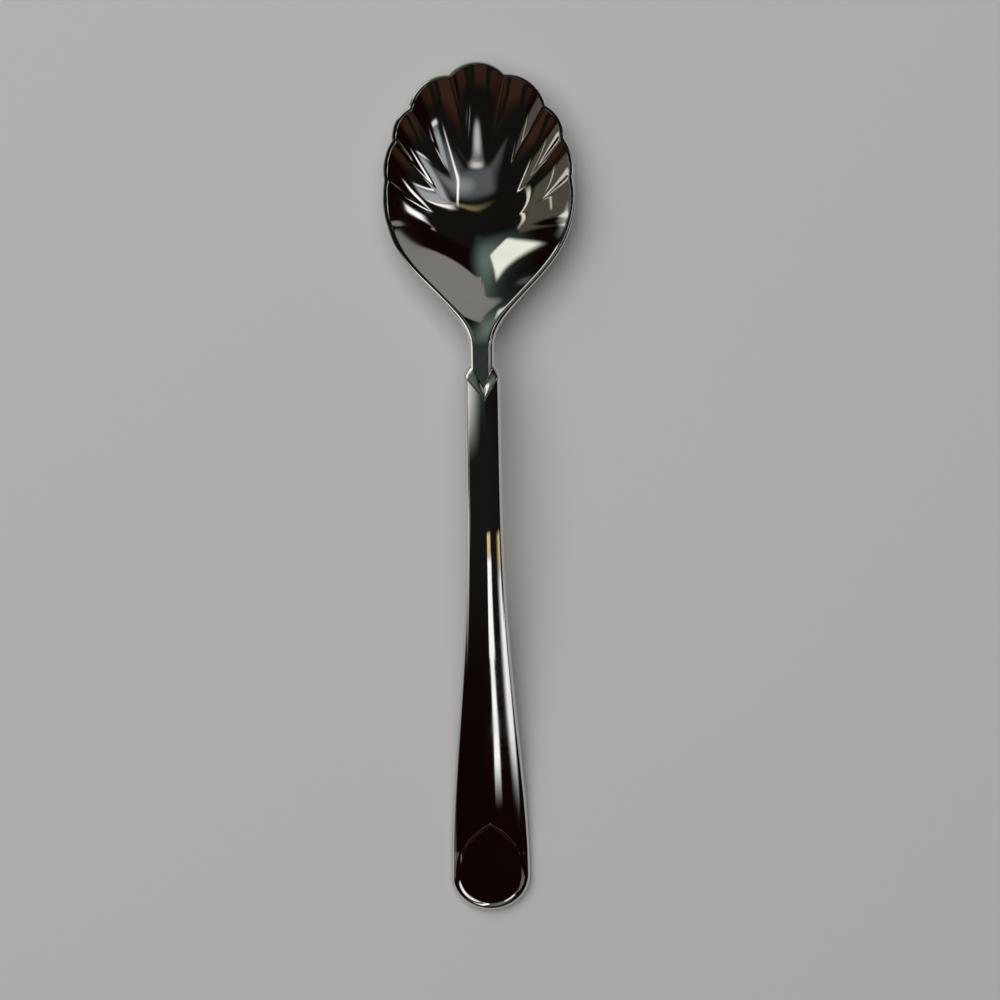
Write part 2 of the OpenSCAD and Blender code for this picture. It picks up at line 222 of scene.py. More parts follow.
def makeMesh(name, points, quads):
    used, inverse = np.unique(quads, return_inverse=True)
    quads = inverse.reshape(quads.shape)
    nextCorner = np.roll(quads, -1, 1)
    keep = quads != nextCorner  # a repeated corner makes the quad a triangle
    size = keep.sum(1)
    quads, keep, size = quads[size >= 3], keep[size >= 3], size[size >= 3]
    mesh = bpy.data.meshes.new(name)
    mesh.vertices.add(len(used))
    mesh.vertices.foreach_set("co", (points[used] * mm).astype(np.float32).ravel())
    mesh.loops.add(int(size.sum()))
    mesh.loops.foreach_set("vertex_index", quads[keep].astype(np.int32))
    mesh.polygons.add(len(size))
    mesh.polygons.foreach_set("loop_start", (np.cumsum(size) - size).astype(np.int32))
    mesh.polygons.foreach_set("use_smooth", np.ones(len(size), bool))
    mesh.update(calc_edges=True)
    mesh.validate()
    obj = bpy.data.objects.new(name, mesh)
    bpy.context.scene.collection.objects.link(obj)
    print(name, "faces:", len(size))
    return obj


def closedBetween(name, upper, lower, rows, sharedEdge):
    # closed solid between an upper and a lower lattice, with its open end capped
    fan = len(upper) - 2 * rows - 1
    up = latticeNumbers(rows, fan)
    points = np.concatenate([latticePoints(upper, rows), latticePoints(lower, rows)])
    low = up + len(points) // 2
    if sharedEdge:
        low[:, -1] = up[:, -1]
    quads = [
        quadsOf(up[:-1, :-1], up[1:, :-1], up[1:, 1:], up[:-1, 1:]),
        quadsOf(low[:-1, :-1], low[:-1, 1:], low[1:, 1:], low[1:, :-1]),
        quadsOf(up[0, :-1], up[0, 1:], low[0, 1:], low[0, :-1]),
        quadsOf(up[-1, :-1], low[-1, :-1], low[-1, 1:], up[-1, 1:]),
    ]
    if not sharedEdge:
        quads.append(quadsOf(up[:-1, -1], up[1:, -1], low[1:, -1], low[:-1, -1]))
    return makeMesh(name, points, np.concatenate(quads))


def latticeNormals(grid, rows):  # sum of the face normals round each point
    numbers = latticeNumbers(rows, len(grid) - 2 * rows - 1)
    points = latticePoints(grid, rows)
    quads = quadsOf(numbers[:-1, :-1], numbers[1:, :-1], numbers[1:, 1:], numbers[:-1, 1:])
    corner = points[quads]
    faceNormal = np.cross(corner[:, 2] - corner[:, 0], corner[:, 3] - corner[:, 1])
    total = np.zeros_like(points)
    for corners in quads.T:
        np.add.at(total, corners, faceNormal)
    total /= np.linalg.norm(total, axis=1, keepdims=True)
    return total[numbers]


# bowl and neck
def heelHalf(y):  # half width from the neck to the widest line: 1 - (1 - s)^p, raised to q
    s = clip((y - neckY) / bowl["heelLen"])
    return mix(neck["width"] / 2, ovalHalf, (1 - (1 - s) ** bowl["heelPower"]) ** bowl["heelFill"])


def roundedVee(u):
    return np.sqrt(u * u + bowl["heelRound"] ** 2) - bowl["heelRound"]


def hollow(x, y):
    # share of the depth: parabolas along and across, as wide as the outline; towards the neck the one
    # across turns into a rounded V and the one along is raised to a power, so that it ends smoothly
    ahead = ovalY - deepY
    v = np.where(y > deepY, (y - deepY) / ahead, (deepY - y) / bowl["hollowLen"])
    rest = np.maximum(0.0, 1 - v * v)
    side = (1 + v) / ahead * bowl["reach"] / np.maximum(1.0, 1 + (y - wideY) / bowl["reach"])
    u = x / heelHalf(y)
    across = mix(u * u, roundedVee(u) / roundedVee(1.0), ease((wideY - y) / (wideY - thickY)))
    heel = np.where(y > deepY, rest, rest ** bowl["heelRise"]) * (1 - across)
    return np.maximum(0.0, np.where(y > wideY, rest - side * (x / ovalHalf) ** 2, heel))


def sheetZ(x, y):
    return spine(y) - bowlDepth * hollow(x, y)


def neckShare(y, start):  # how far the sheet has turned into the neck at y
    return ease(neck["thickRate"] * (start - y) / (start - neckY))


def offRidge(x, half, at):  # 0 on the ridge, 1 at either edge
    return np.where(x < at, (at - x) / (half + at), (x - at) / (half - at))


def vee(x, half):  # how far the joint's V reaches back at x
    return -handle["veeD"] * (1 - np.minimum(1.0, offRidge(x, half, handle["ridgeOff"])))


def fanSpokes():  # angle and bulge of each spoke: a parabola between two ridges
    ridges = np.array(bowl["ridges"])
    bounds = np.concatenate([-ridges[::-1], ridges])
    lobes = len(bounds) - 1
    sideLobes = len(ridges) - 1
    q = np.arange(bowl["lobeSteps"]) / bowl["lobeSteps"]
    rank = np.abs(np.arange(lobes) - sideLobes) / sideLobes
    angle = mix(bounds[:-1, None], bounds[1:, None], q[None, :])
    bulge = mix(bowl["tipLobe"], bowl["sideLobe"], rank)[:, None] * (4 * q * (1 - q))[None, :]
    return np.append(angle.ravel(), bounds[-1]), np.append(bulge.ravel(), 0.0)


def fanMids():
    # a point is the middle of the fan plus q times the way to the rim, bent by q (1 - q), and pushed
    # out in the flutes
    angle, bulge = fanSpokes()
    t = np.radians(angle)[:, None]
    size = np.abs(t)
    rimY = wideY + bowl["reach"] * np.cos(t)
    rimX = np.sign(t) * np.where(size <= math.pi / 2, ovalHalf * np.sin(size), heelHalf(rimY))
    long = np.hypot(rimX, rimY - fanY)
    q = reachOut(long, bowl["sheetT"] / 2) / long
    fade = 1 - ease((np.degrees(size) - bowl["spokeFade"]) / (bowl["ridges"][-1] - bowl["spokeFade"]))
    bend = bowl["reach"] / 2 * np.cos(bowl["spokeTurn"] * t) * fade
    x = q * rimX
    y = mix(fanY, rimY, q) + q * (1 - q) * bend
    outX = np.sin(t) / ovalHalf
    outY = np.cos(t) / bowl["reach"]
    push = bulge[:, None] * ease((q - bowl["fluteFrom"]) / (bowl["fluteFull"] - bowl["fluteFrom"]))
    out = np.hypot(outX, outY)
    z = sheetZ(x, y) - bowl["fluteDip"] * push
    return np.stack([x + push * outX / out, y + push * outY / out, z], -1)


def stripMids(side):  # rows across the heel and the neck, which take up the V on the way
    heel = np.linspace(fanY, veeY, bowl["heelRows"] + 1)[1:]
    narrow = np.linspace(veeY, mouthY + neck["flareLen"], neck["rows"] + 1)[1:]
    rowY = np.concatenate([heel, narrow])[:, None]
    share = np.concatenate([np.zeros(len(heel)), np.linspace(0, 1, neck["rows"] + 1)[1:]])[:, None]
    half = heelHalf(rowY)
    x = side * reachOut(half, mix(bowl["sheetT"] / 2, neck["flank"], neckShare(rowY, topY)))
    y = rowY + share * vee(x, half)
    return np.stack([x, y, sheetZ(x, y)], -1)


# handle
def swell(y):  # quartic from 0 at the even part to 1 at the end, level at both
    u = clip((swellY - y) / (swellY - endY))
    c = handle["swellShape"]
    return u * u * (3 + c - (2 + 2 * c) * u + c * u * u)


def archHalf(y, r):  # half width of the panel's pointed arch, whose sides are arcs of radius r
    return borderX + np.sqrt(np.maximum(borderX ** 2, r * r - (y - endY) ** 2))


def byColumn(atFloor, atBorder, atShoulder, atEdge):
    floorCols = spoon["floorCols"]
    borderEnd = floorCols + spoon["borderCols"]
    inFloor = atFloor * column / floorCols
    inBorder = mix(atFloor, atBorder, (column - floorCols) / spoon["borderCols"])
    inField = mix(atBorder, atShoulder, (column - borderEnd) / spoon["fieldCols"])
    onShoulder = mix(atShoulder, atEdge, turnCos)
    zones = [column <= floorCols, column <= borderEnd, column <= flatCols]
    masks = [zone & np.ones_like(inFloor, bool) for zone in zones]
    return np.select(masks, [inFloor, inBorder, inField], onShoulder)


def frontHeight(off, power, sink, y):  # shoulder plus ridge, or the panel's floor
    plain = handle["shoulderH"] * turnSin + handle["ridgeH"] * (1 - off ** power)
    pointH = handle["shoulderH"] + handle["ridgeH"] - panel["depth"]
    endFloorH = handle["shoulderH"] - panel["bellyStep"] * panel["depth"]
    floorH = mix(endFloorH, pointH, clip((y - endY) / panel["pointLen"]))
    outside = clip((column - spoon["floorCols"]) / spoon["borderCols"])
    return mix(plain, floorH, sink * (1 - outside))


def backHeight(off, y):
    crown = mix(handle["backCrownMouth"], handle["backCrownEnd"], swell(y))
    return handle["backH"] * turnSin + crown * (1 - off * off)


def handleRows(rowY, share, side, face, inset):
    # rows across the handle: face 1 is the front and -1 the back, inset moves the surface inwards
    y, share, inset = (np.broadcast_to(v, np.shape(rowY))[:, None] for v in (rowY, share, inset))
    half = mix(handle["mouthW"], handle["endW"], swell(y)) / 2
    at = handle["ridgeOff"] * (1 - swell(y))
    floorHalf = np.maximum(bandW, archHalf(y, borderR - panel["borderW"]))
    borderHalf = np.maximum(np.maximum(2 * bandW, floorHalf + bandW), archHalf(y, borderR))
    shoulder = half - mix(handle["shoulderW"], handle["shoulderEndW"], swell(y)) - side * at
    shoulder = np.maximum(shoulder, borderHalf + bandW)
    x = at + side * byColumn(floorHalf, borderHalf, shoulder, half - side * at)
    if face > 0:
        power = mix(handle["ridgeSharp"], handle["ridgeSoft"], ease(handle["ridgeFade"] * swell(y)))
        sink = clip((endY + panel["pointLen"] - y) / (panel["pointLen"] - floorTip))
        height = frontHeight(offRidge(x, half, at), power, sink, y)
    else:
        height = backHeight(x / half, y)
    onY = y + share * vee(x, half)
    return np.stack([x * (1 - inset / half), onY, spine(onY) + face * (height - inset * turnSin)], -1)


def handleEnd(face, inset):  # the rounded end: ellipses round the end of the rows
    t = np.radians(np.linspace(90, -90, handle["endSteps"] + 1))[:, None]
    half = handle["endW"] / 2
    edge = handle["endLen"]
    floorHalf = archHalf(endY, borderR - panel["borderW"])
    borderHalf = archHalf(endY, borderR)
    border = edge - panel["margin"]
    sideShoulder = max(half - handle["shoulderEndW"], borderHalf + bandW)
    tipShoulder = max(edge - handle["shoulderEndW"], border + bandW)
    a = byColumn(floorHalf, borderHalf, sideShoulder, half)
    b = byColumn(border - panel["borderW"], border, tipShoulder, edge)
    x = a * np.sin(t) * (1 - inset / half)
    y = endY - b * np.cos(t) * (1 - inset / edge)
    if face > 0:
        height = frontHeight(a / half, handle["ridgeSoft"], 1.0, endY)
    else:
        height = backHeight(a / half, endY)
    return np.stack([x, y, spine(y) + face * (height - inset * turnSin)], -1)


def shellRows():
    # y and share of the V for each row from the rounded end to the mouth, and how far the lip turns in
    gap = tang["seamGap"] / 2
    panelY = endY + floorTip * np.sin(np.linspace(0, math.pi / 2, panel["rows"] + 1)[1:])
    tipY = np.linspace(endY + floorTip, endY + panel["pointLen"], panel["tipRows"] + 1)[1:]
    bodyY = np.linspace(tipY[-1], rootY, handle["bodyRows"] + 1)[1:]
    q = np.linspace(0, 1, handle["mouthRows"] + 1)[1:]
    mouth = mix(rootY, mouthY - handle["lipR"] - gap, q)
    lip = np.linspace(0, math.pi / 2, handle["lipRows"] + 1)[1:]
    lipY = mouthY - gap - handle["lipR"] * (1 - np.sin(lip))
    rowY = np.concatenate([panelY, tipY, bodyY, mouth, lipY])
    share = np.concatenate([np.zeros(len(panelY) + len(tipY) + len(bodyY)), q, np.ones(len(lip))])
    turnIn = np.concatenate([np.zeros(len(rowY) - len(lip)), handle["lipR"] * (1 - np.cos(lip))])
    return rowY, share, turnIn


def shellSurface(face, inset, lipped):
    rowY, share, turnIn = shellRows()
    rowInset = inset + (turnIn if lipped else 0 * turnIn)
    right = handleRows(rowY, share, 1, face, rowInset)
    left = handleRows(rowY, share, -1, face, rowInset)
    return np.concatenate([right[::-1], handleEnd(face, inset), left]), len(rowY)


def makeShell(name, face):
    outer, rows = shellSurface(face, 0.0, True)
    inner, rows = shellSurface(face, handle["wallT"], False)
    upper, lower = (outer, inner) if face > 0 else (inner, outer)
    return closedBetween(name, upper, lower, rows, False)


# shank behind the neck: flare, joint face, root and tang
def shankRows(side, face):
    gap = tang["seamGap"] / 2
    q = np.linspace(0, 1, neck["flareRows"] + 1)[1:]
    flareY = mouthY + mix(neck["flareLen"], handle["lipR"] + gap, q)
    x = side * reachOut(np.full((len(q), 1), neck["width"] / 2), neck["flank"])
    y = flareY[:, None] + vee(x, neck["width"] / 2)
    plain = np.stack([x, y, spine(y) + face * neck["thick"] / 2 * turnSin], -1)
    flare = mix(plain, handleRows(flareY, 1.0, side, face, 0.0), ease(q)[:, None, None])
    lip = np.linspace(0, math.pi / 2, handle["lipRows"] + 1)[1:]
    lipY = mouthY + gap + handle["lipR"] * (1 - np.sin(lip))
    joint = handleRows(lipY, 1.0, side, face, handle["lipR"] * (1 - np.cos(lip)))
    rootQ = np.linspace(1, 0, tang["rows"] + 1)
    rowY = mix(rootY, mouthY, rootQ)
    rowY[0] += gap
    root = handleRows(rowY, rootQ, side, face, rootInset)
    tangRow = np.linspace(rootY, tangY, tang["rows"])[:, None]
    tx = side * reachOut(np.full_like(tangRow, tang["width"] / 2), tang["thick"] / 2)
    ty = np.broadcast_to(tangRow, tx.shape)
    blade = np.stack([tx, ty, spine(ty) + face * tang["thick"] / 2 * turnSin], -1)
    return np.concatenate([flare, joint, root, blade])


def makeBowl(name):
    # the sheet's middle moved out along its normal by half the thickness, which turns to nothing at the rim
    left = stripMids(-1)
    mids = np.concatenate([left[::-1], fanMids(), stripMids(1)])
    rows = len(left)
    normal = latticeNormals(mids, rows)
    faces = []
    for face, start in ((1, topY), (-1, thickY)):
        thick = mix(bowl["sheetT"], neck["thick"], neckShare(mids[..., 1], start))
        sheet = mids + face * normal * (thick / 2 * turnSin)[..., None]
        sheet[..., 2] = np.maximum(0.0, sheet[..., 2])
        faces.append(np.concatenate([shankRows(-1, face)[::-1], sheet, shankRows(1, face)]))
    rows += len(shankRows(1, 1))
    return closedBetween(name, faces[0], faces[1], rows, True)


bowlPiece = makeBowl("fluted_bowl_and_shank")
frontPiece = makeShell("handle_front", 1)
backPiece = makeShell("handle_back", -1)


# shader groups: shared polish marks and handling haze
def newGroup(name, inputs, outputs):
    group = bpy.data.node_groups.new(name, "ShaderNodeTree")
    for label, kind, value in inputs:
        socket = group.interface.new_socket(name=label, in_out="INPUT", socket_type=kind)
        if value is not None:
            socket.default_value = value
    for label, kind in outputs:
        group.interface.new_socket(name=label, in_out="OUTPUT", socket_type=kind)
    return group, group.nodes.new("NodeGroupInput"), group.nodes.new("NodeGroupOutput")


def addNode(tree, kind, settings=None, values=None):
    node = tree.nodes.new(kind)
    for key, value in (settings or {}).items():
        setattr(node, key, value)
    for key, value in (values or {}).items():
        node.inputs[key].default_value = value
    return node


hairStretch = {"Scale": (9000.0, 260.0, 9000.0)}  # fine across the handle, long along it
hairNoise = {"Scale": 1.0, "Detail": 2.0, "Roughness": 0.6}
waveNoise = {"Scale": 90.0, "Detail": 1.0, "Roughness": 0.4}


def polishMarks():
    # height of hairlines that run along one direction, and of a slow unevenness left by hand polishing
    group, source, sink = newGroup(
        "polishMarks",
        [
            ("Vector", "NodeSocketVector", None),
            ("Hairline", "NodeSocketFloat", 0.1),
            ("Wave", "NodeSocketFloat", 1.0),
        ],
        [("Height", "NodeSocketFloat")],
    )
    links = group.links
    stretch = addNode(group, "ShaderNodeMapping", values=hairStretch)
    hair = addNode(group, "ShaderNodeTexNoise", values=hairNoise)
    slow = addNode(group, "ShaderNodeTexNoise", values=waveNoise)
    hairPart = addNode(group, "ShaderNodeMath", {"operation": "MULTIPLY"})
    slowPart = addNode(group, "ShaderNodeMath", {"operation": "MULTIPLY"})
    both = addNode(group, "ShaderNodeMath", {"operation": "ADD"})
    links.new(source.outputs["Vector"], stretch.inputs["Vector"])
    links.new(stretch.outputs["Vector"], hair.inputs["Vector"])
    links.new(source.outputs["Vector"], slow.inputs["Vector"])
    links.new(hair.outputs["Fac"], hairPart.inputs[0])
    links.new(source.outputs["Hairline"], hairPart.inputs[1])
    links.new(slow.outputs["Fac"], slowPart.inputs[0])
    links.new(source.outputs["Wave"], slowPart.inputs[1])
    links.new(hairPart.outputs[0], both.inputs[0])
    links.new(slowPart.outputs[0], both.inputs[1])
    links.new(both.outputs[0], sink.inputs["Height"])
    return group


hazeNoise = {"Detail": 5.0, "Roughness": 0.62, "Distortion": 0.6}
hazeRange = {"From Min": 0.45, "From Max": 0.75}


def handlingHaze():
    # roughness between a clean and a hazy value, where fingers and washing have dulled the polish
    group, source, sink = newGroup(
        "handlingHaze",
        [
            ("Vector", "NodeSocketVector", None),
            ("Scale", "NodeSocketFloat", 70.0),
            ("Clean", "NodeSocketFloat", 0.04),
            ("Hazy", "NodeSocketFloat", 0.12),
        ],
        [("Roughness", "NodeSocketFloat"), ("Mask", "NodeSocketFloat")],
    )
    links = group.links
    cloud = addNode(group, "ShaderNodeTexNoise", values=hazeNoise)
    mask = addNode(group, "ShaderNodeMapRange", values=hazeRange)
    rough = addNode(group, "ShaderNodeMapRange")
    links.new(source.outputs["Vector"], cloud.inputs["Vector"])
    links.new(source.outputs["Scale"], cloud.inputs["Scale"])
    links.new(cloud.outputs["Fac"], mask.inputs["Value"])
    links.new(mask.outputs["Result"], rough.inputs["Value"])
    links.new(source.outputs["Clean"], rough.inputs["To Min"])
    links.new(source.outputs["Hazy"], rough.inputs["To Max"])
    links.new(rough.outputs["Result"], sink.inputs["Roughness"])
    links.new(mask.outputs["Result"], sink.inputs["Mask"])
    return group


marksGroup = polishMarks()
hazeGroup = handlingHaze()


def newMaterial(name):
    material = bpy.data.materials.new(name)
    material.use_nodes = True
    tree = material.node_tree
    return material, tree, tree.nodes["Principled BSDF"]


def polishedSteel(name, finish):
    material, tree, shader = newMaterial(name)
    links = tree.links
    place = addNode(tree, "ShaderNodeTexCoord")
    marks = addNode(tree, "ShaderNodeGroup", {"node_tree": marksGroup})
    marks.inputs["Hairline"].default_value = finish["hairline"]
    marks.inputs["Wave"].default_value = finish["wave"]
    haze = addNode(tree, "ShaderNodeGroup", {"node_tree": hazeGroup})
    haze.inputs["Scale"].default_value = finish["hazeScale"]
    haze.inputs["Clean"].default_value = finish["clean"]
    haze.inputs["Hazy"].default_value = finish["hazy"]
    tint = addNode(tree, "ShaderNodeMix", {"data_type": "RGBA"})
    tint.inputs["A"].default_value = finish["color"]
    tint.inputs["B"].default_value = finish["hazeColor"]
    bump = addNode(tree, "ShaderNodeBump", values={"Strength": 1.0, "Distance": finish["bump"]})
    for group in (marks, haze):
        links.new(place.outputs["Object"], group.inputs["Vector"])
    links.new(haze.outputs["Mask"], tint.inputs["Factor"])
    links.new(tint.outputs["Result"], shader.inputs["Base Color"])
    links.new(haze.outputs["Roughness"], shader.inputs["Roughness"])
    links.new(marks.outputs["Height"], bump.inputs["Height"])
    links.new(bump.outputs["Normal"], shader.inputs["Normal"])
    shader.inputs["Metallic"].default_value = 1.0
    return material


cementLook = {
    "dark": (0.42, 0.39, 0.33, 1.0),
    "pale": (0.7, 0.66, 0.58, 1.0),
    "grain": {"Scale": 900.0, "Detail": 6.0, "Roughness": 0.7},
    "bump": {"Strength": 0.5, "Distance": 0.0001},
    "roughness": 0.9,
}


def cementFill(name):
    material, tree, shader = newMaterial(name)
    links = tree.links
    place = addNode(tree, "ShaderNodeTexCoord")
    grain = addNode(tree, "ShaderNodeTexNoise", values=cementLook["grain"])
    shade = addNode(tree, "ShaderNodeValToRGB")
    shade.color_ramp.elements[0].color = cementLook["dark"]
    shade.color_ramp.elements[1].color = cementLook["pale"]
    bump = addNode(tree, "ShaderNodeBump", values=cementLook["bump"])
    links.new(place.outputs["Object"], grain.inputs["Vector"])
    links.new(grain.outputs["Fac"], shade.inputs["Fac"])
    links.new(shade.outputs["Color"], shader.inputs["Base Color"])
    links.new(grain.outputs["Fac"], bump.inputs["Height"])
    links.new(bump.outputs["Normal"], shader.inputs["Normal"])
    shader.inputs["Roughness"].default_value = cementLook["roughness"]
    return material


bowlFinish = {
    "color": (0.74, 0.73, 0.71, 1.0),
    "hazeColor": (0.68, 0.67, 0.65, 1.0),
    "hairline": 0.05,
    "wave": 1.0,
    "hazeScale": 60.0,
    "clean": 0.03,
    "hazy": 0.09,
    "bump": 0.00001,
}
handleFinish = dict(bowlFinish, hairline=0.08, hazeScale=85.0, clean=0.04, hazy=0.12)

bowlSteel = polishedSteel("bowlSteel", bowlFinish)
handleSteel = polishedSteel("handleSteel", handleFinish)
pieceList = [
    (bowlPiece, "bowl_and_shank", bowlSteel),
    (frontPiece, "handle_front_shell", handleSteel),
    (backPiece, "handle_back_shell", handleSteel),
]
for piece, node, material in pieceList:
    piece.data.materials.append(material)
    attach(piece, "root")
    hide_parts(node)
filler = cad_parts["handle_filler"]
filler.data.materials.clear()
filler.data.materials.append(cementFill("cementFill"))
print("materials done:", [m.name for m in bpy.data.materials])

# plain pale floor, in metres
floorLook = {"half": 1.5, "drop": 0.0002, "color": (0.43, 0.435, 0.43, 1.0), "roughness": 0.9, "gloss": 0.1}


def levelSquare(name, half, z, material):
    corners = [(-half, -half, z), (half, -half, z), (half, half, z), (-half, half, z)]
    mesh = bpy.data.meshes.new(name)
    mesh.from_pydata(corners, [], [(0, 1, 2, 3)])
    mesh.materials.append(material)
    obj = bpy.data.objects.new(name, mesh)
    bpy.context.scene.collection.objects.link(obj)
    return obj


def makeFloor():
    material, tree, shader = newMaterial("paleFloor")
    shader.inputs["Base Color"].default_value = floorLook["color"]
    shader.inputs["Roughness"].default_value = floorLook["roughness"]
    shader.inputs["Specular IOR Level"].default_value = floorLook["gloss"]
    levelSquare("floor", floorLook["half"], -floorLook["drop"], material)


makeFloor()

# overhead soft box that lights the floor; polished metal shows the room instead
overhead = {"at": (-0.25, 0.25, 1.1), "size": 1.2, "watts": 17.0, "color": (1.0, 0.99, 0.98)}


def makeOverhead():
    data = bpy.data.lights.new("overhead", "AREA")
    data.size = overhead["size"]
    data.energy = overhead["watts"]
    data.color = overhead["color"]
    obj = bpy.data.objects.new("overhead", data)
    bpy.context.scene.collection.objects.link(obj)
    obj.location = overhead["at"]
    obj.rotation_euler = (-obj.location).to_track_quat("-Z", "Y").to_euler()
    obj.visible_glossy = False


makeOverhead()

# room round the spoon: soft panels of light on a dark ground, each from one direction to another, given as
# degrees round from +X and degrees down from overhead; half is the half width in degrees, and soft is the
# share of each half over which the light fades
roomPanels = {
    "window": {
        "from": (131, 81), "to": (129, 50), "half": 12.5, "soft": 0.3,
        "glow": 1.1, "color": (0.94, 1.0, 0.86),
    },
    "windowGlow": {
        "from": (140, 80), "to": (58, 42), "half": 36, "soft": 1.0,
        "glow": 0.2, "color": (0.75, 1.0, 0.85),
    },
    "flankGlow": {
        "from": (154, 80), "to": (166, 84), "half": 4, "soft": 0.6,
        "glow": 0.9, "color": (0.97, 1.0, 0.93),
    },
    "rimStrip": {
        "from": (120, 90), "to": (152, 90), "half": 4, "soft": 0.6,
        "glow": 0.9, "color": (0.97, 1.0, 0.93),
    },
    "neckGlow": {
        "from": (120, 28), "to": (60, 28), "half": 12, "soft": 1.0,
        "glow": 0.04, "color": (0.8, 1.0, 0.95),
    },
    "leftWall": {
        "from": (-163, 61), "to": (152, 74), "half": 20, "soft": 0.3,
        "glow": 0.09, "color": (1.0, 0.9, 0.72),
    },
    "leftEdge": {
        "from": (150, 56), "to": (-160, 41), "half": 1.5, "soft": 0.6,
        "glow": 0.9, "color": (1.0, 0.93, 0.78),
    },
    "leftLine": {
        "from": (162, 70), "to": (-162, 59), "half": 1.2, "soft": 0.6,
        "glow": 0.6, "color": (1.0, 0.93, 0.78),
    },
    "leftLow": {
        "from": (145, 88), "to": (-160, 88), "half": 11, "soft": 0.6,
        "glow": 0.75, "color": (1.0, 0.96, 0.88),
    },
    "farLeft": {
        "from": (84, 84), "to": (114, 104), "half": 22, "soft": 0.12,
        "glow": 0.25, "color": (1.0, 0.98, 0.95),
    },
    "farRight": {
        "from": (100, 82), "to": (30, 100), "half": 22, "soft": 0.12,
        "glow": 0.25, "color": (1.0, 0.98, 0.95),
    },
    "farSide": {
        "from": (75, 99), "to": (22, 98), "half": 23, "soft": 0.12,
        "glow": 0.25, "color": (1.0, 0.98, 0.95),
    },
    "rightHorizon": {
        "from": (-8, 92), "to": (-45, 92), "half": 8, "soft": 0.6,
        "glow": 0.35, "color": (1.0, 1.0, 1.0),
    },
    "endHorizon": {
        "from": (-140, 78), "to": (-40, 78), "half": 15, "soft": 0.6,
        "glow": 0.16, "color": (1.0, 0.6, 0.45),
    },
}
roomGround = (0.006, 0.002, 0.0014)

